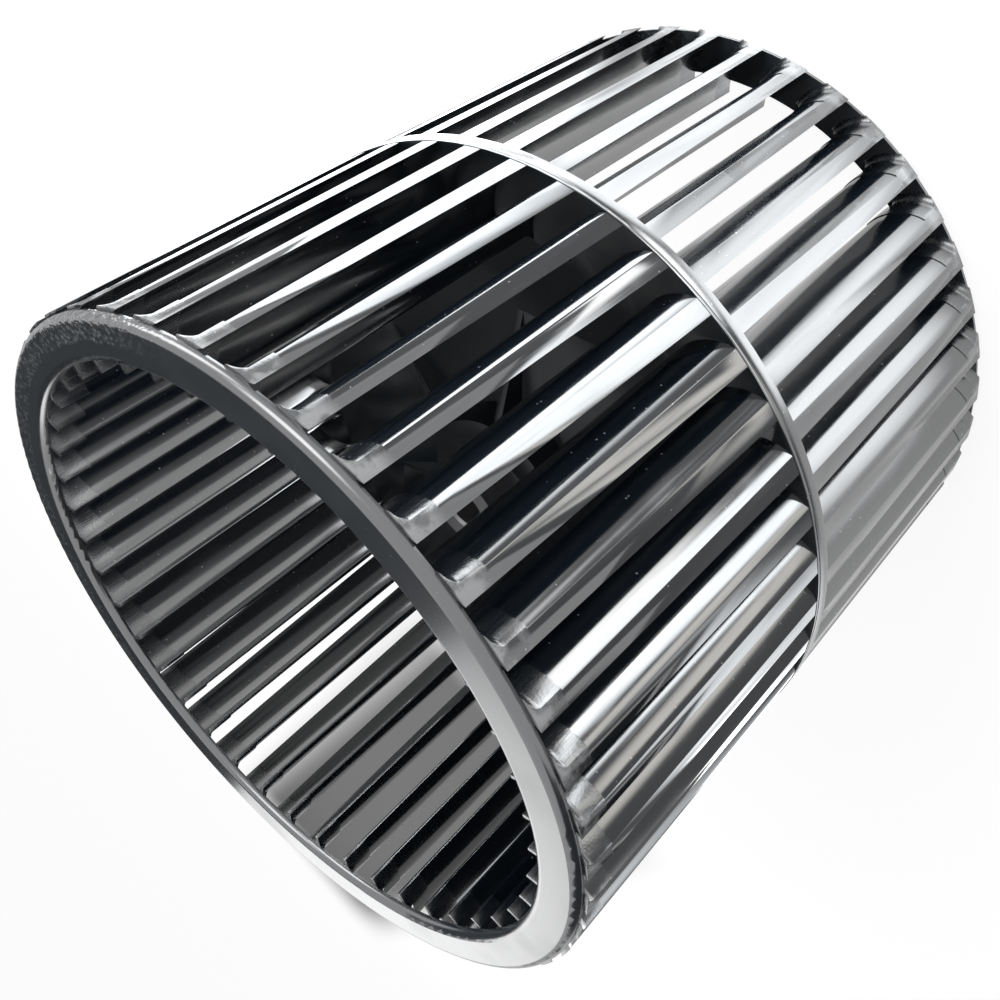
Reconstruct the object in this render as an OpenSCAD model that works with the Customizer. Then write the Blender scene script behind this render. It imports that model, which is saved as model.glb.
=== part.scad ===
// Double-inlet blower wheel: two rows of forward-curved blades on one middle disc,
// closed at both ends by a welded inlet ring, and carried on a metal bush in the hub.
// The wheel stands on its lower inlet ring, and its shaft axis is the z axis.

/* [Inlet rings] */
// Outer diameter of each inlet ring
ring_d = 200; // [160:1:240]
// Width of each inlet ring from its outer edge to its opening
ring_w = 12; // [9:0.5:14]
// Thickness of each inlet ring along the shaft
ring_t = 2.6; // [2.6:0.1:4]
// Rounding of the ring's outer front edge
ring_edge_r = 2.1; // [1:0.1:2.4]
// Rounding of the ring's inner front edge
inlet_edge_r = 2.1; // [1:0.1:2.4]

/* [Blades] */
// Number of blades in each row
blade_n = 43; // [30:1:48]
// Length of the blades of one row
blade_l = 97; // [60:1:140]
// How far the blade tips stand out from an inlet ring
tip_proud = 1; // [0.3:0.1:1.5]
// How much further the tips stand out beside the band
tip_rise = 0.6; // [0.2:0.1:1]
// How far the blades reach inside an inlet ring's opening
tab_l = 3.7; // [2:0.1:6]
// Angle of a blade's inner edge, past the radius
lead_angle = 8; // [0:0.5:15]
// Angle between a blade's tip and the tangent
tip_angle = 25; // [20:0.5:35]
// Thickness of a blade at its tip, beside the band
tip_t = 2.3; // [2:0.1:2.8]
// Thickness of a blade at its inner edge
lead_t = 0.9; // [0.8:0.1:1.4]
// Mould draft: thickness that the tip loses from band to ring
draft_t = 0.5; // [0:0.1:0.8]
// Radius of the foot where a blade's inner edge meets the disc
foot_r = 5; // [2:0.5:6]
// Turn of the lower row, as a share of the blade spacing
stagger = 0.45; // [0:0.05:1]

/* [Blade ends] */
// Length of the thickened pad at a blade's ring end
pad_l = 8.5; // [5:0.5:12]
// Extra thickness of that pad, on the blade's back
pad_t = 0.35; // [0.2:0.05:0.6]
// Fillet between a blade's back and its ring
ring_fillet = 2.4; // [1.5:0.1:3]

/* [Disc and band] */
// How far the band stands out from the blade tips beside it
band_proud = 0.2; // [0.1:0.1:1]
// Width of the band along the shaft
band_w = 4.8; // [4:0.1:8]
// Width of the parting groove round the band
groove_w = 0.4; // [0.2:0.1:0.8]
// Depth of that groove
groove_depth = 0.25; // [0.1:0.05:0.5]
// Distance of the groove from the band's upper edge
groove_inset = 0.7; // [0.4:0.1:1.5]
// How far the disc's thick rim reaches inside the blades' feet
rim_lip = 0.3; // [0.1:0.1:2]
// Thickness of the disc between hub and rim
disc_t = 3; // [2:0.1:4]

/* [Hub] */
// Outer diameter of the moulded hub
hub_d = 46; // [40:1:60]
// Length of the hub on each side of the disc's middle
hub_side_l = 13; // [10:0.5:20]
// Number of stiffening ribs on each side of the disc
rib_n = 6; // [3:1:10]
// Distance of the ribs' outer ends from the shaft axis
rib_reach = 58; // [40:1:65]
// Thickness of a rib
rib_t = 2.4; // [1.5:0.1:4]

/* [Bush] */
// Bore for the motor shaft
bore_d = 12; // [8:0.5:14]
// Size across the flats of the moulded-in part
bush_flats = 26; // [24:0.5:32]
// Diameter of the bush's free neck
neck_d = 24; // [22:0.5:24]
// Length of the free neck above the hub
neck_l = 13; // [11:0.5:20]
// Chamfer at both ends of the bore
bore_chamfer = 0.8; // [0.3:0.1:1]

/* [Set screw] */
// Thread diameter of the set screw
screw_d = 8; // [5:0.5:9]
// Size across the flats of its socket
socket_flats = 4; // [2:0.5:4]
// Depth of its socket
socket_l = 3.2; // [1:0.1:4]

/* [Hidden] */

$fn = 96;
black = "#17181b";
grey = "#2a2c30";
steel = "#8a8d92";

// How far cutting shapes run past what they cut
over = 1;
// How far moulded features sink into what carries them
sink = 0.4;

row_top = band_w / 2 + blade_l;
wheel_h = 2 * (ring_t + row_top);
mid_z = wheel_h / 2;
pitch = 360 / blade_n;

// Radii that the wheel's main circles share
ring_r = ring_d / 2;
inlet_r = ring_r - ring_w;
lead_r = inlet_r - tab_l;
tip_ring_r = ring_r + tip_proud;
tip_band_r = tip_ring_r + tip_rise;
band_r = tip_band_r + band_proud;

// Camber: one circular arc from the inner edge to the tip, seen along the shaft.
// The inner edge of the first blade lies on the x axis.
tip_r = (tip_ring_r + tip_band_r) / 2;
camber_r = (pow(tip_r, 2) - pow(lead_r, 2))
    / (2 * (tip_r * cos(tip_angle) + lead_r * sin(lead_angle)));
camber_x = lead_r + camber_r * sin(lead_angle);
camber_y = -camber_r * cos(lead_angle);
camber_far = norm([camber_x, camber_y]);
tip_dir = atan2(camber_y, camber_x)
    + acos((pow(tip_r, 2) - pow(camber_far, 2) - pow(camber_r, 2)) / (2 * camber_far * camber_r));
lead_dir = 90 + lead_angle;

// Section: the hollow face and the round back are two circles, the back's shifted
// towards the tip, so that the blade thickens evenly from its inner edge.
hollow_r = camber_r - lead_t / 2;
back_shift = (tip_t - lead_t) / (1 - cos(lead_dir - tip_dir));
back_r = hollow_r + tip_t - back_shift;
draft_angle = atan(draft_t / blade_l);
lean = row_top * tan(draft_angle);

// Angles about the back's axis between which a blade meets its inlet ring: from beyond
// the tip to where the blade crosses into the ring's opening
ring_from = -8;
ring_to = (lead_dir - tip_dir) * (tip_r - inlet_r) / (tip_r - lead_r);

// Wedge about the camber's centre that keeps only the blade's part of the crescent
wedge_r = 1.6 * camber_r;
wedge_from = tip_dir - 25;
wedge_to = lead_dir + 34;
wedge_steps = 5;

// Profile of an inlet ring, in radius and height, with its front face at the top. The
// rounding circles are wider than the ring is thick, so what lies below it is cut off.
module ring_profile() {
    intersection() {
        translate([inlet_r, 0])
            square([ring_w, ring_t]);
        union() {
            translate([inlet_r, 0])
                square([ring_w, ring_t - max(ring_edge_r, inlet_edge_r)]);
            translate([inlet_r, 0])
                square([inlet_edge_r + over, ring_t - inlet_edge_r]);
            translate([inlet_r + inlet_edge_r, 0])
                square([ring_w - inlet_edge_r - ring_edge_r, ring_t]);
            translate([inlet_r + inlet_edge_r, ring_t - inlet_edge_r])
                circle(r = inlet_edge_r);
            translate([ring_r - ring_edge_r, ring_t - ring_edge_r])
                circle(r = ring_edge_r);
        }
    }
}

module inlet_ring() {
    rotate_extrude()
        ring_profile();
}

module upper_inlet_ring() {
    color(grey)
        translate([0, 0, mid_z + row_top])
            inlet_ring();
}

module lower_inlet_ring() {
    color(grey)
        translate([0, 0, mid_z - row_top])
            mirror([0, 0, 1])
                inlet_ring();
}

// Space that one row of blades may fill, from the disc's middle up to its inlet ring
module row_envelope() {
    foot_z = disc_t / 2;
    rotate_extrude() {
        difference() {
            polygon([
                [lead_r - foot_r, 0],
                [tip_band_r, 0],
                [tip_band_r, band_w / 2],
                [tip_ring_r, row_top],
                [lead_r - foot_r, row_top]
            ]);
            translate([0, foot_z + foot_r])
                square([lead_r, row_top]);
            translate([lead_r - foot_r, foot_z + foot_r])
                circle(r = foot_r);
        }
    }
}

// Fillet that fills the corner between a blade's pad and its ring, turned about the
// back's axis. The ring lies at z = 0, and the arc meets ring and pad at a slight angle.
module ring_flare() {
    pad_r = back_r + pad_t;
    ease = ring_fillet / 4;
    rotate([0, 0, ring_from])
        rotate_extrude(angle = ring_to - ring_from)
            difference() {
                translate([pad_r - sink, -sink])
                    square([sink + ring_fillet, ring_fillet + sink]);
                translate([pad_r + ring_fillet + ease, ring_fillet + ease])
                    circle(r = norm([ring_fillet + ease, ease]));
            }
}

// A blade's back: a leaning cylinder, thickened to a pad beside its inlet ring
module blade_back() {
    rotate([0, -draft_angle, 0])
        translate([0, 0, -over])
            cylinder(r = back_r, h = row_top + 3 * over);
    translate([-lean, 0, row_top - pad_l])
        cylinder(r = back_r + pad_t, h = pad_l + over);
}

// One blade, longer and wider than needed: the row's envelope trims it
module blade_stock() {
    intersection() {
        linear_extrude(row_top + over) {
            difference() {
                polygon(concat(
                    [[camber_x, camber_y]],
                    [for (i = [0:wedge_steps])
                        let (a = wedge_from + (wedge_to - wedge_from) * i / wedge_steps)
                        [camber_x + wedge_r * cos(a), camber_y + wedge_r * sin(a)]]
                ));
                translate([camber_x, camber_y])
                    circle(r = hollow_r);
            }
        }
        translate([camber_x, camber_y, 0])
            rotate([0, 0, tip_dir])
                translate([back_shift, 0, 0])
                    blade_back();
    }
    translate([camber_x, camber_y, 0])
        rotate([0, 0, tip_dir])
            translate([back_shift - lean, 0, row_top])
                mirror([0, 0, 1])
                    ring_flare();
}

module blade_row() {
    intersection() {
        union() {
            for (k = [0:blade_n - 1])
                rotate([0, 0, k * pitch])
                    blade_stock();
        }
        row_envelope();
    }
}

// Disc, rim with the band, hub and ribs
module disc() {
    hub_r = hub_d / 2;
    rim_r = lead_r - foot_r - rim_lip;
    groove_z = band_w / 2 - groove_inset;
    difference() {
        union() {
            rotate_extrude() {
                polygon([
                    [0, -disc_t / 2],
                    [rim_r, -disc_t / 2],
                    [rim_r + band_w - disc_t, -band_w / 2],
                    [band_r, -band_w / 2],
                    [band_r, groove_z - groove_w],
                    [band_r - groove_depth, groove_z - groove_w / 2],
                    [band_r, groove_z],
                    [band_r, band_w / 2],
                    [rim_r + band_w - disc_t, band_w / 2],
                    [rim_r, disc_t / 2],
                    [0, disc_t / 2]
                ]);
            }
            translate([0, 0, -hub_side_l])
                cylinder(r = hub_r, h = 2 * hub_side_l);
            for (side = [0, 1])
                mirror([0, 0, side])
                    for (k = [0:rib_n - 1])
                        rotate([0, 0, k * 360 / rib_n])
                            rib();
        }
        translate([0, 0, -hub_side_l - over])
            cylinder(r = bush_flats / sqrt(3), h = 2 * (hub_side_l + over), $fn = 6);
    }
}

// Gusset from the hub's side down to the disc
module rib() {
    hub_r = hub_d / 2;
    translate([0, rib_t / 2, 0])
        rotate([90, 0, 0])
            linear_extrude(rib_t)
                polygon([
                    [hub_r - sink, 0],
                    [rib_reach, 0],
                    [rib_reach, disc_t / 2],
                    [hub_r + 2, hub_side_l - 2],
                    [hub_r - sink, hub_side_l - 2]
                ]);
}

module wheel() {
    color(black)
        translate([0, 0, mid_z]) {
            disc();
            blade_row();
            rotate([0, 0, stagger * pitch])
                mirror([0, 0, 1])
                    blade_row();
        }
}

screw_z = mid_z + hub_side_l + neck_l / 2;

module hub_bush() {
    body_z = mid_z - hub_side_l;
    total_l = 2 * hub_side_l + neck_l;
    color(steel)
        difference() {
            union() {
                translate([0, 0, body_z])
                    cylinder(r = bush_flats / sqrt(3), h = 2 * hub_side_l, $fn = 6);
                translate([0, 0, body_z])
                    cylinder(r = neck_d / 2, h = total_l);
            }
            translate([0, 0, body_z - over])
                cylinder(r = bore_d / 2, h = total_l + 2 * over);
            for (end = [[body_z, 0], [body_z + total_l, 1]])
                translate([0, 0, end[0]])
                    mirror([0, 0, end[1]])
                        translate([0, 0, -over])
                            cylinder(
                                r1 = bore_d / 2 + bore_chamfer + over,
                                r2 = bore_d / 2,
                                h = bore_chamfer + over
                            );
            translate([0, 0, screw_z])
                rotate([0, 90, 0])
                    cylinder(r = screw_d / 2, h = neck_d);
        }
}

module set_screw() {
    clearance = 0.05;
    tip_gap = 0.3;
    chamfer = 0.6;
    screw_r = screw_d / 2 - clearance;
    tip_x = bore_d / 2 + tip_gap;
    head_x = neck_d / 2 - 0.3;
    color(steel)
        translate([tip_x, 0, screw_z])
            rotate([0, 90, 0])
                difference() {
                    union() {
                        cylinder(r1 = screw_r - chamfer, r2 = screw_r, h = chamfer);
                        translate([0, 0, chamfer])
                            cylinder(r = screw_r, h = head_x - tip_x - chamfer);
                    }
                    translate([0, 0, head_x - tip_x - socket_l])
                        cylinder(r = socket_flats / sqrt(3), h = socket_l + over, $fn = 6);
                }
}

wheel();
upper_inlet_ring();
lower_inlet_ring();
hub_bush();
set_screw();
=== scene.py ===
# %% [markdown]
# A moulded blower wheel, dressed for its picture. On the real object one moulding carries two rows of
# curved blades on a middle disc, two rings are welded on the blade ends, and a steel bush with a screw
# grips the motor shaft. All of that arrives as a fixed frame, in metres, standing on its lower ring with
# the shaft axis upright. The blades could be modelled again here, but they would drift from the sizes
# that were checked, so this lesson keeps the frame's shapes and gives them rounds, finishes and light.

# %% Load the fixed frame
from math import cos, pi, radians, sin
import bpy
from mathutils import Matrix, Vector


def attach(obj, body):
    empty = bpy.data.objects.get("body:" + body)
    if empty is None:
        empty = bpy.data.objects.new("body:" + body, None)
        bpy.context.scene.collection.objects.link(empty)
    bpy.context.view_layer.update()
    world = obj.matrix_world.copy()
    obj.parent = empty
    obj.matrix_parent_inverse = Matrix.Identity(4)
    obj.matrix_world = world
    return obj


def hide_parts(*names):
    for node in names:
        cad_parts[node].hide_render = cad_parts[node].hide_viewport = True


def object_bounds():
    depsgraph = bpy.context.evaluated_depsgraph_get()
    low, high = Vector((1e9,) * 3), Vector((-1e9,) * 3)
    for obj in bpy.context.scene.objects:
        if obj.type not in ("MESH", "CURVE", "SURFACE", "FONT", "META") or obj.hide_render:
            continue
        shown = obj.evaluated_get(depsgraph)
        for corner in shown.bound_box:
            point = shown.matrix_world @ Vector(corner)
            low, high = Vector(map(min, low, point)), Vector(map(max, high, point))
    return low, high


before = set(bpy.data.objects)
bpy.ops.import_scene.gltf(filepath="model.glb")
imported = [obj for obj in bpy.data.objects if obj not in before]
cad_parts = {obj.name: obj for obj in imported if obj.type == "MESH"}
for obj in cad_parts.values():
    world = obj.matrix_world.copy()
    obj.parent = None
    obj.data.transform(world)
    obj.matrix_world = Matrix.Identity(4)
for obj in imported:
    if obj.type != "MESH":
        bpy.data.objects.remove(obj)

from types import SimpleNamespace

import bpy
from mathutils import Matrix, Vector

scene = bpy.context.scene
mm = 0.001
cad_box = [list(corner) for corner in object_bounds()]
print("frame box in mm:", [[round(v / mm, 1) for v in corner] for corner in cad_box])

# %% [markdown]
# The wheel was photographed lying on its side, from beyond its near end. Seen from the wheel itself
# that is a camera above the upper ring, looking down through it, and rolled until the shaft runs from
# the lower left of the picture to the upper right. A constraint could aim the camera, but it would keep
# it level, so the camera's own three axes are worked out here. Four values place it: which way it looks,
# how far down, how much it is rolled and how far it is from the point that it looks at.

# %% Camera
view_azimuth = 177.7
view_elevation = 35.046
view_roll = -130.165
view_distance = 347.04 * mm
view_target = Vector((9.704, 0.387, 100.893)) * mm


def back_vector(azimuth, elevation):
    """The way from the target to the camera: azimuth 0 looks along +Y, elevation is above the horizon."""
    a, e = radians(azimuth), radians(elevation)
    return Vector((sin(a) * cos(e), -cos(a) * cos(e), sin(e)))


def rolled_frame(back, roll):
    """A camera's own axes as columns, for a camera that looks against back and is rolled about it."""
    right = Vector((0, 0, 1)).cross(back).normalized()
    up = back.cross(right)
    turn = Matrix.Rotation(radians(roll), 3, back)
    return Matrix((turn @ right, turn @ up, back)).transposed()


camera_data = bpy.data.cameras.new("camera")
camera_data.sensor_width = 36
camera_data.lens = 40.818
camera_data.shift_x = -0.04486
camera_data.shift_y = -0.01416
camera_data.clip_start = 0.01
camera = bpy.data.objects.new("camera", camera_data)
scene.collection.objects.link(camera)
back = back_vector(view_azimuth, view_elevation)
standpoint = Matrix.Translation(view_target + back * view_distance)
camera.matrix_world = standpoint @ rolled_frame(back, view_roll).to_4x4()
scene.camera = camera
print("camera at mm:", [round(v / mm, 1) for v in camera.location])

# %% [markdown]
# Every finish below is a small net of nodes. Nodes could be added and joined one by one in the shader
# editor, but the same few moves come back all the time. So short helpers make them: each adds the nodes
# for one idea, takes plain numbers or sockets where it can, and hands back what comes out.

# %% Helpers for nets of nodes


def new_material(name):
    """An empty material: itself, its nodes, its links and its output node."""
    material = bpy.data.materials.new(name)
    material.use_nodes = True
    nodes = material.node_tree.nodes
    nodes.clear()
    output = nodes.new("ShaderNodeOutputMaterial")
    return material, nodes, material.node_tree.links, output


def calc(nodes, links, kind, first, second=0.0):
    """A Math node whose inputs are sockets or plain numbers."""
    node = nodes.new("ShaderNodeMath")
    node.operation = kind
    for slot, value in zip(node.inputs, (first, second)):
        if isinstance(value, (int, float)):
            slot.default_value = value
        else:
            links.new(value, slot)
    return node.outputs[0]


def step(nodes, links, value, low_edge, high_edge):
    """0 below low_edge, 1 above high_edge and a soft step between."""
    node = nodes.new("ShaderNodeMapRange")
    node.interpolation_type = "SMOOTHSTEP"
    links.new(value, node.inputs["Value"])
    node.inputs["From Min"].default_value = low_edge
    node.inputs["From Max"].default_value = high_edge
    return node.outputs[0]


def between(nodes, links, value, start, full, ebb, end):
    """1 from full to ebb, 0 before start and beyond end, and a soft step on either side."""
    rising = step(nodes, links, value, start, full)
    falling = step(nodes, links, calc(nodes, links, "MULTIPLY", value, -1.0), -end, -ebb)
    return calc(nodes, links, "MULTIPLY", rising, falling)


def object_place(nodes, links):
    """Object coordinates: the vector, its three parts, and reach, the distance from the shaft axis."""
    vector = nodes.new("ShaderNodeTexCoord").outputs["Object"]
    apart = nodes.new("ShaderNodeSeparateXYZ")
    links.new(vector, apart.inputs[0])
    flat = nodes.new("ShaderNodeVectorMath")
    flat.operation = "MULTIPLY"
    links.new(vector, flat.inputs[0])
    flat.inputs[1].default_value = (1, 1, 0)
    length = nodes.new("ShaderNodeVectorMath")
    length.operation = "LENGTH"
    links.new(flat.outputs[0], length.inputs[0])
    x, y, z = apart.outputs
    return SimpleNamespace(vector=vector, x=x, y=y, z=z, reach=length.outputs["Value"])


print("helpers ready")

# %% [markdown]
# The floor is pale and plain. A white floor under strong lamps would clip and would light the wheel from
# below, so its brightness has two parts. One is lamplight on a pale colour, which keeps the wheel's
# shadow. The other is a glow that camera, glossy and transmitted rays see and that lights nothing: it
# lifts the floor to white in the picture and in the polished blades. The glow is a little stronger inside
# the lower ring, a painted light that lifts the wheel's shade on the floor there. In one band behind the
# wheel it is almost off, a painted shadow, because the camera looks at that band through the slots of the
# far side, and the slots there are dark.

# %% Floor
scene.view_settings.view_transform = "Standard"
floor_size = 30.0
floor_colour = 0.3
floor_glow = 0.86
# Painted shadow: the floor's glow in a band behind the wheel, and where that band lies.
painted_shadow_glow = 0.02
painted_shadow_across = (-0.01, 0.045, 0.16, 0.22)
painted_shadow_along = (-0.9, -0.8, -0.36, -0.28)
# Painted light: the floor's glow inside the lower ring, where the wheel shades it, and its edge.
painted_light_glow = 0.95
painted_light_edge = (0.08, 0.10)


def seen_rays(nodes, links):
    """1 for camera, glossy and transmitted rays, 0 for the light that the scene bounces about."""
    path = nodes.new("ShaderNodeLightPath")
    first = calc(nodes, links, "MAXIMUM", path.outputs["Is Camera Ray"], path.outputs["Is Glossy Ray"])
    return calc(nodes, links, "MAXIMUM", first, path.outputs["Is Transmission Ray"])


def floor_level(nodes, links):
    """Floor glow: almost off in a painted shadow behind the wheel, painted light inside the ring, even
    elsewhere.
    """
    place = object_place(nodes, links)
    # A painted shadow: the glow is almost off in a band behind the wheel.
    across = between(nodes, links, place.x, *painted_shadow_across)
    along = between(nodes, links, place.y, *painted_shadow_along)
    painted_shadow = calc(nodes, links, "MULTIPLY", across, along)
    lost = calc(nodes, links, "MULTIPLY", painted_shadow, floor_glow - painted_shadow_glow)
    # A painted light: the glow is stronger inside the lower ring, where the wheel shades the floor.
    painted_light = calc(nodes, links, "SUBTRACT", 1.0, step(nodes, links, place.reach, *painted_light_edge))
    gained = calc(nodes, links, "MULTIPLY", painted_light, painted_light_glow - floor_glow)
    return calc(nodes, links, "ADD", calc(nodes, links, "SUBTRACT", floor_glow, lost), gained)


def floor_material():
    material, nodes, links, output = new_material("pale_floor")
    diffuse = nodes.new("ShaderNodeBsdfDiffuse")
    diffuse.inputs["Color"].default_value = (floor_colour, floor_colour, floor_colour, 1)
    glow = nodes.new("ShaderNodeEmission")
    strength = calc(nodes, links, "MULTIPLY", seen_rays(nodes, links), floor_level(nodes, links))
    links.new(strength, glow.inputs["Strength"])
    both = nodes.new("ShaderNodeAddShader")
    links.new(diffuse.outputs[0], both.inputs[0])
    links.new(glow.outputs[0], both.inputs[1])
    links.new(both.outputs[0], output.inputs["Surface"])
    return material


bpy.ops.object.select_all(action="DESELECT")
bpy.ops.mesh.primitive_plane_add(size=floor_size, location=(0, 0, 0))
floor = bpy.context.object
floor.name = "floor"
floor.data.materials.append(floor_material())
print("floor:", floor_size, "m wide")

# %% [markdown]
# Beyond the floor's edge there is only the world. A wall could stand there, but a wall needs light of its
# own. The world does what the floor does: the rays that are seen find it white, and the light that it
# sheds on the wheel is weak, so that it doesn't fill the shadows.

# %% World
sky_light = 0.35
world = bpy.data.worlds.new("studio")
world.use_nodes = True
scene.world = world
sky_nodes, sky_links = world.node_tree.nodes, world.node_tree.links
sky_level = sky_nodes.new("ShaderNodeMapRange")
sky_level.inputs["To Min"].default_value = sky_light
sky_level.inputs["To Max"].default_value = 1.0
sky_links.new(seen_rays(sky_nodes, sky_links), sky_level.inputs["Value"])
sky_links.new(sky_level.outputs[0], sky_nodes["Background"].inputs["Strength"])
sky_nodes["Background"].inputs["Color"].default_value = (1, 1, 1, 1)
print("world:", world.name)

# %% [markdown]
# Black gloss plastic shows almost nothing of its own colour: what the eye reads is the lamps mirrored in
# it. Small bright lamps would leave hard spots, so the lamps are large flat panels whose light fades
# towards the rim, as a softbox does. An area lamp can be given such a fade by its own nodes.

# %% Softboxes
lamp_share = 4.0  # watts for each square metre that make a lamp's face as bright as a fully lit white


def soften(data, edge):
    """Lets a lamp fade over the outer part of its face, by the place on the face where the light leaves."""
    data.use_nodes = True
    nodes, links = data.node_tree.nodes, data.node_tree.links
    face_place = nodes.new("ShaderNodeNewGeometry").outputs["Parametric"]
    middle = nodes.new("ShaderNodeVectorMath")
    middle.operation = "DISTANCE"
    links.new(face_place, middle.inputs[0])
    middle.inputs[1].default_value = (0.5, 0.5, 0)
    inward = calc(nodes, links, "SUBTRACT", 0.5, middle.outputs["Value"])
    links.new(step(nodes, links, inward, 0.0, edge), nodes["Emission"].inputs["Strength"])


def panel(name, place, size, level, face=(0, 0, 1), turn=0.0, colour=(1, 1, 1), edge=0.3):
    """An oval softbox that shines along face and is turned about it. Level 1 is as bright as white."""
    data = bpy.data.lights.new(name, "AREA")
    data.shape = "ELLIPSE"
    data.size, data.size_y = size
    data.energy = lamp_share * size[0] * size[1] * pi / 4 * level
    data.color = colour
    soften(data, edge)
    lamp = bpy.data.objects.new(name, data)
    aim = Vector(face).to_track_quat("-Z", "Y").to_matrix().to_4x4()
    lamp.matrix_world = Matrix.Translation(Vector(place)) @ aim @ Matrix.Rotation(radians(turn), 4, "Z")
    lamp.visible_camera = False
    scene.collection.objects.link(lamp)


def toward(azimuth, elevation=0.0):
    """The way out from the shaft axis at an angle counted from +X, and above the horizon."""
    a, e = radians(azimuth), radians(elevation)
    return Vector((cos(a) * cos(e), sin(a) * cos(e), sin(e)))


print("a softbox fades towards its rim")

# %% [markdown]
# Each lamp stands where some of the blades need something bright to mirror. The camera looks down at the
# wheel, so most of what they mirror is the ground, and most lamps lie on it facing up: a close set for
# the lower row and a wider set for the upper one. Where two of them overlap, one lies a little higher.
# Two boxes stand round the upper ring for its face and its rim, and one large box lights the whole.

# %% Lamps
floor_gap = Vector((0, 0, 2 * mm))
ring_height = Vector((0, 0, 0.2))
warm = (1.0, 0.98, 0.93)
cool = (0.93, 0.97, 1.0)

panel("front_card", Vector((0.0, 0.335, 0)) + floor_gap, (0.11, 0.32), 4, colour=cool, edge=0.2)
panel("front_low_card", Vector((-0.045, 0.225, 0)) + floor_gap * 1.5, (0.11, 0.11), 4)
panel("warm_card", Vector((0.10, 0.32, 0)) + floor_gap * 1.25, (0.12, 0.34), 1.8, turn=-20, colour=warm)
panel("left_card", Vector((-0.35, 0.01, 0)) + floor_gap, (0.54, 0.60), 4, colour=cool, edge=0.1)
panel("right_card", toward(332) * 0.267 + floor_gap, (0.16, 0.22), 4, turn=30)
panel("right_far_card", Vector((0.32, 0.0, 0)) + floor_gap * 1.5, (0.34, 0.32), 2, colour=cool)

base_reach = 0.15
base_size = (0.11, 0.16)
for azimuth in (78, 124, 170, 216):
    base_place = toward(azimuth) * base_reach + floor_gap
    panel(f"base_card_{azimuth}", base_place, base_size, 2.5, turn=azimuth, colour=cool)

ring_way = toward(282, 18)
edge_way = toward(165, 12)
key_way = toward(135, 45)
panel("ring_softbox", ring_way * 0.8 + ring_height, (0.55, 0.4), 1.5, face=-ring_way)
panel("edge_softbox", edge_way * 0.6 + ring_height, (0.6, 0.3), 3, face=-edge_way)
panel("key_softbox", key_way * 1.3, (0.9, 0.9), 3, face=-key_way)

# %% [markdown]
# A photographer of shiny things also needs something dark to mirror. A darker world would do, but it would
# darken the picture's ground too. So two black flags stand where the upper ring would mirror the white
# world, and a grey cloth lies under the low lamps, open round the wheel's foot. They are stage pieces for
# mirrored rays alone, so they neither show in the picture nor cast a shadow.

# %% Flags
hole_fade = 40 * mm


def flag(name, place, size, face, shade, hole=0.0):
    """A board of one grey shade, facing along face. A hole leaves it open that far round the shaft axis."""
    bpy.ops.object.select_all(action="DESELECT")
    bpy.ops.mesh.primitive_plane_add(size=1)
    board = bpy.context.object
    board.name = name
    turn = Vector(face).to_track_quat("Z", "Y").to_matrix().to_4x4()
    board.data.transform(Matrix.Translation(Vector(place)) @ turn @ Matrix.Diagonal((*size, 1, 1)))
    material, nodes, links, output = new_material(name)
    surface = nodes.new("ShaderNodeBsdfDiffuse")
    surface.inputs["Color"].default_value = (shade, shade, shade, 1)
    if hole:
        cloth, surface = surface, nodes.new("ShaderNodeMixShader")
        reach = object_place(nodes, links).reach
        links.new(step(nodes, links, reach, hole, hole + hole_fade), surface.inputs["Fac"])
        links.new(nodes.new("ShaderNodeBsdfTransparent").outputs[0], surface.inputs[1])
        links.new(cloth.outputs[0], surface.inputs[2])
    links.new(surface.outputs[0], output.inputs["Surface"])
    board.data.materials.append(material)
    board.visible_camera = False
    board.visible_diffuse = False
    board.visible_shadow = False


back_way = toward(250, 20)
side_way = toward(350, 8)
flag("back_flag", back_way * 0.6 + ring_height, (0.45, 0.5), -back_way, 0.06)
flag("side_flag", side_way * 0.6 + ring_height, (0.7, 0.5), -side_way, 0.05)
flag("grey_cloth", floor_gap / 2, (1.2, 1.2), (0, 0, 1), 0.5, hole=0.19)

# %% [markdown]
# A moulding has no knife edges: every edge carries a small round that catches the light as a thin bright
# line. A Bevel node could fake the round in the finish, but it would be lost from the mesh. So a copy of
# the wheel is rounded and stands in its place, while the frame's own mesh stays as it is. The copy's
# triangles are loose, so they are merged first and flat fans are dissolved, and then one Bevel modifier
# rounds every edge that turns by more than thirty degrees.

# %% Rounded copy of the wheel
merge_distance = 0.002 * mm
flat_angle = radians(0.5)
round_width = 0.18 * mm
round_angle = radians(30)
smooth_angle = radians(38)


def rounded_copy(node, name):
    """A copy of a frame node with its sharp edges rounded, which stands for the node."""
    piece = bpy.data.objects.new(name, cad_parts[node].data.copy())
    scene.collection.objects.link(piece)
    bpy.ops.object.select_all(action="DESELECT")
    piece.select_set(True)
    bpy.context.view_layer.objects.active = piece
    bpy.ops.object.mode_set(mode="EDIT")
    bpy.ops.mesh.select_all(action="SELECT")
    bpy.ops.mesh.remove_doubles(threshold=merge_distance)
    bpy.ops.mesh.dissolve_limited(angle_limit=flat_angle)
    bpy.ops.object.mode_set(mode="OBJECT")
    bevel = piece.modifiers.new("rounds", "BEVEL")
    bevel.width = round_width
    bevel.segments = 2
    bevel.limit_method = "ANGLE"
    bevel.angle_limit = round_angle
    bpy.ops.object.modifier_apply(modifier="rounds")
    bpy.ops.object.shade_smooth_by_angle(angle=smooth_angle)
    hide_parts(node)
    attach(piece, "root")
    return piece


moulding = rounded_copy("wheel", "blower_moulding")
moulding.data.calc_loop_triangles()
print(moulding.name, "triangles:", len(moulding.data.loop_triangles))

# %% [markdown]
# The plastics share their marks of use. Each could have its own nodes for them, but then one change would
# have to be made three times, so each effect is a shader node group with named inputs and outputs, built
# once and placed where it is needed. Two helpers come first: one starts a group and one adds its noise.

# %% Helpers for node groups


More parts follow.
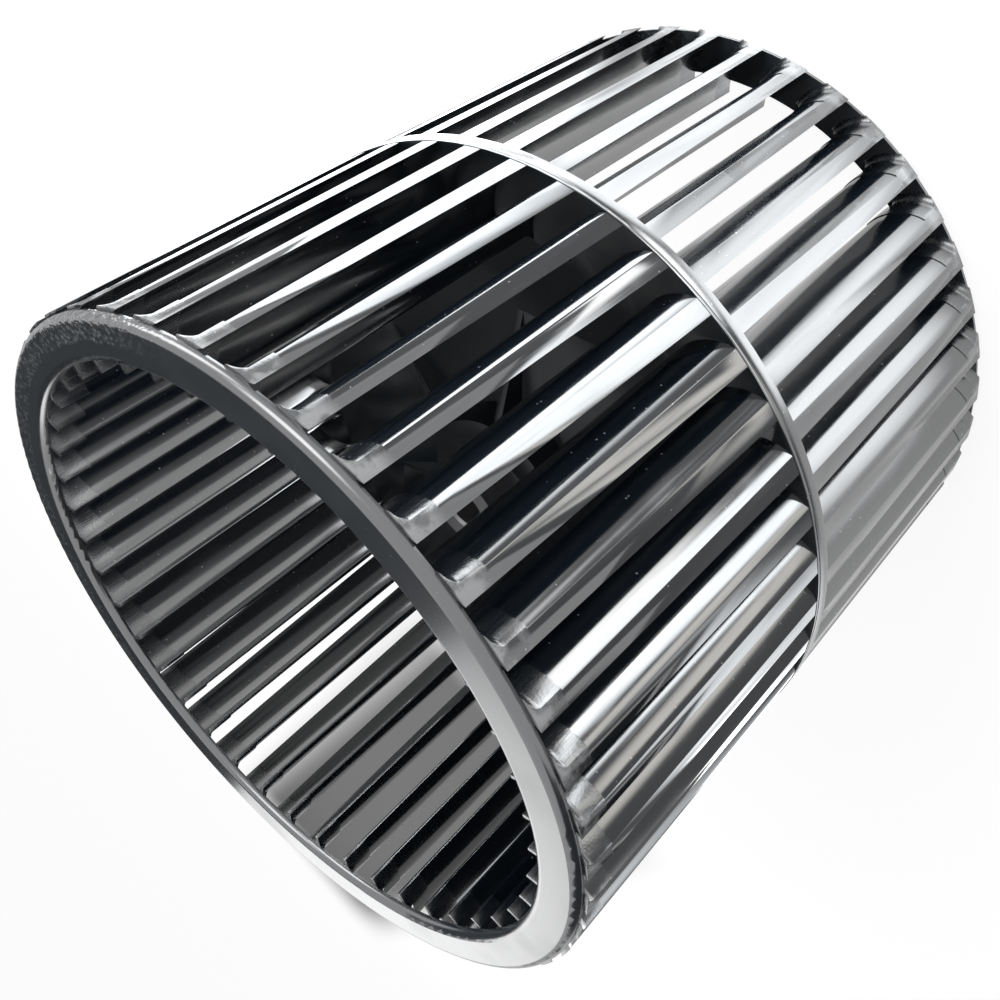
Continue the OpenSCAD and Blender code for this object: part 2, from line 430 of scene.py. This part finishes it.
def new_group(name, inputs, outputs):
    """An empty shader node group with a vector input, float inputs (name, value) and float outputs."""
    group = bpy.data.node_groups.new(name, "ShaderNodeTree")
    group.interface.new_socket("Vector", in_out="INPUT", socket_type="NodeSocketVector")
    for socket, value in inputs:
        made = group.interface.new_socket(socket, in_out="INPUT", socket_type="NodeSocketFloat")
        made.default_value = value
    for socket in outputs:
        group.interface.new_socket(socket, in_out="OUTPUT", socket_type="NodeSocketFloat")
    start = group.nodes.new("NodeGroupInput")
    end = group.nodes.new("NodeGroupOutput")
    return group, group.nodes, group.links, start, end


def noise(nodes, links, vector, scale, detail=3.0, stretch=(1, 1, 1)):
    """Noise at so many features a metre, stretched along an axis by a small factor there."""
    mapping = nodes.new("ShaderNodeMapping")
    mapping.inputs["Scale"].default_value = stretch
    links.new(vector, mapping.inputs["Vector"])
    texture = nodes.new("ShaderNodeTexNoise")
    texture.inputs["Scale"].default_value = scale
    texture.inputs["Detail"].default_value = detail
    links.new(mapping.outputs[0], texture.inputs["Vector"])
    return texture.outputs["Fac"]


print("group helpers ready")

# %% [markdown]
# A wheel that has been handled isn't evenly bright. Haze is the cloudy film that dulls the gloss in
# patches, streaks are the fine marks that run along the blades where the wheel left its mould, and specks
# are single grains of dust. The specks could be small meshes, but at this size a Voronoi cell is enough:
# each cell may hold one speck, and two of its random numbers say whether it does and how large it is.

# %% Node group: handling marks
haze_scale = 45
streak_scale = 2600
speck_scale = 600
speck_rarity = 0.8


def handling_group():
    group, nodes, links, start, end = new_group(
        "handling_marks", [("Haze level", 0.5), ("Speck size", 0.1)], ["Haze", "Streak", "Speck"])
    vector = start.outputs["Vector"]
    haze = step(nodes, links, noise(nodes, links, vector, haze_scale), 0.45, 0.75)
    links.new(calc(nodes, links, "MULTIPLY", haze, start.outputs["Haze level"]), end.inputs["Haze"])
    fine = noise(nodes, links, vector, streak_scale, 0, (1, 1, 0.02))
    links.new(step(nodes, links, fine, 0.5, 0.8), end.inputs["Streak"])
    cells = nodes.new("ShaderNodeTexVoronoi")
    cells.inputs["Scale"].default_value = speck_scale
    links.new(vector, cells.inputs["Vector"])
    chance = nodes.new("ShaderNodeSeparateColor")
    links.new(cells.outputs["Color"], chance.inputs[0])
    size = calc(nodes, links, "MULTIPLY", chance.outputs[0], start.outputs["Speck size"])
    inside = calc(nodes, links, "LESS_THAN", cells.outputs["Distance"], size)
    rare = calc(nodes, links, "GREATER_THAN", chance.outputs[1], speck_rarity)
    links.new(calc(nodes, links, "MULTIPLY", inside, rare), end.inputs["Speck"])
    return group


handling = handling_group()
print("group:", handling.name)

# %% [markdown]
# One side of the rings is pebbled: the mould was spark-eroded there, which leaves a leathery grain of
# rounded bumps about a millimetre wide. Real bumps would take millions of faces, so the grain is a height
# that a Bump node turns into small tilts of the surface. The blade ends by the weld use it too, finer.

# %% Node group: moulded grain


def grain_group():
    group, nodes, links, start, end = new_group("moulded_grain", [("Scale", 1500)], ["Height"])
    pebbles = nodes.new("ShaderNodeTexVoronoi")
    links.new(start.outputs["Vector"], pebbles.inputs["Vector"])
    links.new(start.outputs["Scale"], pebbles.inputs["Scale"])
    links.new(calc(nodes, links, "SUBTRACT", 1.0, pebbles.outputs["Distance"]), end.inputs["Height"])
    return group


grain = grain_group()
print("group:", grain.name)

# %% [markdown]
# The finishes need four more moves: to place a group with its own values, to mix two colours, to tilt the
# surface by a height, and to give a piece its material. The height goes through a Bump node, because a
# displaced mesh would cost far more faces and would hardly look different at this size.

# %% Helpers for finishes


def place_group(nodes, group, links, vector, **values):
    """A group's node, fed with a vector. An input's name is written with _ for its space."""
    node = nodes.new("ShaderNodeGroup")
    node.node_tree = group
    links.new(vector, node.inputs["Vector"])
    for name, value in values.items():
        node.inputs[name.replace("_", " ")].default_value = value
    return node


def mix_colour(nodes, links, factor, first, second):
    """A colour mix whose two colours are sockets or plain triples."""
    node = nodes.new("ShaderNodeMix")
    node.data_type = "RGBA"
    links.new(factor, node.inputs["Factor"])
    for socket, value in ((node.inputs[6], first), (node.inputs[7], second)):
        if isinstance(value, tuple):
            socket.default_value = (*value, 1)
        else:
            links.new(value, socket)
    return node.outputs[2]


def tilt(nodes, links, height, distance, strength):
    """The normal that a height gives the surface, where a height of 1 stands for distance."""
    bump = nodes.new("ShaderNodeBump")
    bump.inputs["Distance"].default_value = distance
    bump.inputs["Strength"].default_value = strength
    links.new(height, bump.inputs["Height"])
    return bump.outputs[0]


def dress(piece, material):
    """Gives a piece its finish, in place of what it wore."""
    piece.data.materials.clear()
    piece.data.materials.append(material)


print("finish helpers ready")

# %% [markdown]
# Gloss black plastic. Its base colour is nearly black with a touch of blue, so a mirrored lamp decides
# each face. A clear coat over a dull base would shine too, but one layer is simpler, and a high index of
# refraction gives it the lacquered shine that the wheel has when it is new. Haze and streaks change its
# roughness, dust specks are pale, and near the rings the outer faces of the blades carry the whitish
# smears and the dull grain of the weld.

# %% Finish: gloss black plastic
rest_middle = sum(corner[2] for corner in cad_box) / 2
gloss_colour = (0.006, 0.010, 0.015)
gloss_dust = (0.4, 0.42, 0.44)
gloss_ior = 1.9
gloss_roughness = 0.11
smear_colour = (0.4, 0.41, 0.42)
smear_strength = 0.8
smear_height = (90 * mm, 95 * mm)
pad_height = (90.6 * mm, 91.2 * mm)
land_reach = (100.2 * mm, 100.7 * mm)


def gloss_black_plastic():
    material, nodes, links, output = new_material("gloss_black_plastic")
    place = object_place(nodes, links)
    marks = place_group(nodes, handling, links, place.vector, Haze_level=0.5, Speck_size=0.16)
    grains = place_group(nodes, grain, links, place.vector, Scale=1400.0)
    height = calc(nodes, links, "ABSOLUTE", calc(nodes, links, "SUBTRACT", place.z, rest_middle))
    on_pad = step(nodes, links, height, *pad_height)
    on_land = step(nodes, links, place.reach, *land_reach)
    near_weld = step(nodes, links, height, *smear_height)
    patchy = step(nodes, links, noise(nodes, links, place.vector, 160), 0.4, 0.55)
    smear = calc(nodes, links, "MULTIPLY", calc(nodes, links, "MULTIPLY", near_weld, patchy), on_land)
    smear = calc(nodes, links, "MULTIPLY", smear, smear_strength)
    dusty = mix_colour(nodes, links, marks.outputs["Speck"], gloss_colour, gloss_dust)
    hazed = calc(nodes, links, "MULTIPLY", marks.outputs["Haze"], 0.14)
    streaked = calc(nodes, links, "MULTIPLY", marks.outputs["Streak"], 0.06)
    dulled = calc(nodes, links, "MULTIPLY", on_pad, 0.12)
    rough = calc(nodes, links, "ADD", calc(nodes, links, "ADD", hazed, streaked), dulled)
    pad_grain = calc(nodes, links, "MULTIPLY", grains.outputs["Height"], on_pad)
    shader = nodes.new("ShaderNodeBsdfPrincipled")
    shader.inputs["IOR"].default_value = gloss_ior
    shader.inputs["Specular IOR Level"].default_value = 1.0
    links.new(mix_colour(nodes, links, smear, dusty, smear_colour), shader.inputs["Base Color"])
    links.new(calc(nodes, links, "ADD", rough, gloss_roughness), shader.inputs["Roughness"])
    links.new(tilt(nodes, links, pad_grain, 0.03 * mm, 0.5), shader.inputs["Normal"])
    links.new(shader.outputs[0], output.inputs["Surface"])
    return material


dress(moulding, gloss_black_plastic())
print("dressed:", moulding.name)

# %% [markdown]
# Between the blade rows the mould was left matt, so the disc, the hub and its ribs are a duller black
# than the blades. They could be cut off as a piece of their own, but they belong to the same moulding. So
# the faces that lie near the shaft or in the disc's plane take a second material of the same piece.

# %% Finish: dull black plastic on the hub and the disc
hub_reach = 76 * mm
disc_reach = 98 * mm
disc_half = 3 * mm
dull_colour = (0.004, 0.007, 0.010)
dull_dust = (0.2, 0.21, 0.22)
dull_roughness = 0.3


def dull_black_plastic():
    material, nodes, links, output = new_material("dull_black_plastic")
    vector = object_place(nodes, links).vector
    marks = place_group(nodes, handling, links, vector, Haze_level=0.8, Speck_size=0.1)
    dusty = mix_colour(nodes, links, marks.outputs["Speck"], dull_colour, dull_dust)
    hazed = calc(nodes, links, "MULTIPLY", marks.outputs["Haze"], 0.15)
    shader = nodes.new("ShaderNodeBsdfPrincipled")
    shader.inputs["Specular IOR Level"].default_value = 0.4
    links.new(dusty, shader.inputs["Base Color"])
    links.new(calc(nodes, links, "ADD", hazed, dull_roughness), shader.inputs["Roughness"])
    links.new(shader.outputs[0], output.inputs["Surface"])
    return material


def is_hub_or_disc(face):
    """Whether a face lies near the shaft or in the disc's plane, inside the blades."""
    out = Vector(face.center[:2]).length
    in_disc = abs(face.center.z - rest_middle) < disc_half and out < disc_reach
    return out < hub_reach or in_disc


moulding.data.materials.append(dull_black_plastic())
for face in moulding.data.polygons:
    face.material_index = int(is_hub_or_disc(face))
print("dull faces:", sum(face.material_index for face in moulding.data.polygons))

# %% [markdown]
# The rings are of the same plastic, a shade lighter. One side of them came out of the mould pebbled on the
# outer part of its face, and the rest came out smooth. Painting that by hand would tie it to one view, so
# two soft steps scale the grain instead: one across the ring, along the way to the pebbled side, and one
# outwards. On that side the peaks of the pebbles are painted pale, as painted glints.

# %% Finish: ring plastic
ring_colour = (0.036, 0.043, 0.051)
# Painted glints: the pale colour of the pebble peaks, and how strongly it is painted on.
painted_glint_colour = (0.16, 0.17, 0.175)
ring_dust = (0.3, 0.31, 0.32)
ring_ior = 1.9
ring_roughness = 0.18
painted_glint_strength = 0.6
pebbled_way = toward(195)
pebbled_from = (25 * mm, 60 * mm)
pebbled_reach = (92.5 * mm, 93.5 * mm)


def ring_plastic():
    material, nodes, links, output = new_material("ring_plastic")
    place = object_place(nodes, links)
    marks = place_group(nodes, handling, links, place.vector, Haze_level=0.6, Speck_size=0.08)
    grains = place_group(nodes, grain, links, place.vector, Scale=800.0)
    across = nodes.new("ShaderNodeVectorMath")
    across.operation = "DOT_PRODUCT"
    links.new(place.vector, across.inputs[0])
    across.inputs[1].default_value = pebbled_way
    one_side = step(nodes, links, across.outputs["Value"], *pebbled_from)
    outer_part = step(nodes, links, place.reach, *pebbled_reach)
    pebbled = calc(nodes, links, "MULTIPLY", one_side, outer_part)
    # Painted glints: the peaks of the grain on the pebbled side are painted pale.
    glint_peaks = step(nodes, links, grains.outputs["Height"], 0.4, 0.75)
    painted_glints = calc(nodes, links, "MULTIPLY", calc(nodes, links, "MULTIPLY", glint_peaks, pebbled), painted_glint_strength)
    glinted = mix_colour(nodes, links, painted_glints, ring_colour, painted_glint_colour)
    hazed = calc(nodes, links, "MULTIPLY", marks.outputs["Haze"], 0.12)
    pebbles = calc(nodes, links, "MULTIPLY", grains.outputs["Height"], pebbled)
    shader = nodes.new("ShaderNodeBsdfPrincipled")
    shader.inputs["IOR"].default_value = ring_ior
    shader.inputs["Specular IOR Level"].default_value = 1.0
    dusty = mix_colour(nodes, links, marks.outputs["Speck"], glinted, ring_dust)
    links.new(dusty, shader.inputs["Base Color"])
    links.new(calc(nodes, links, "ADD", hazed, ring_roughness), shader.inputs["Roughness"])
    links.new(tilt(nodes, links, pebbles, 0.25 * mm, 0.9), shader.inputs["Normal"])
    links.new(shader.outputs[0], output.inputs["Surface"])
    return material


ring_finish = ring_plastic()
for node in ("upper_inlet_ring", "lower_inlet_ring"):
    dress(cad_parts[node], ring_finish)
print("dressed: two rings")

# %% [markdown]
# The bush and its screw are machined steel that has gone dark. Fine tool marks run round the shaft axis.
# A ready-made brushed look would need the mesh unwrapped, so noise is drawn out in the two flat
# directions and kept short along the axis, and it roughens the metal in thin level lines.

# %% Finish: machined steel
steel_colour = (0.2, 0.2, 0.21, 1)
steel_roughness = 0.35


def machined_steel():
    material, nodes, links, output = new_material("steel")
    vector = nodes.new("ShaderNodeTexCoord").outputs["Object"]
    marks = noise(nodes, links, vector, 3000, 2, (0.05, 0.05, 1))
    lines = calc(nodes, links, "MULTIPLY", marks, 0.2)
    shader = nodes.new("ShaderNodeBsdfPrincipled")
    shader.inputs["Metallic"].default_value = 1.0
    shader.inputs["Base Color"].default_value = steel_colour
    links.new(calc(nodes, links, "ADD", lines, steel_roughness), shader.inputs["Roughness"])
    links.new(shader.outputs[0], output.inputs["Surface"])
    return material


steel = machined_steel()
for node in ("hub_bush", "set_screw"):
    dress(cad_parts[node], steel)
print("dressed: bush and screw")
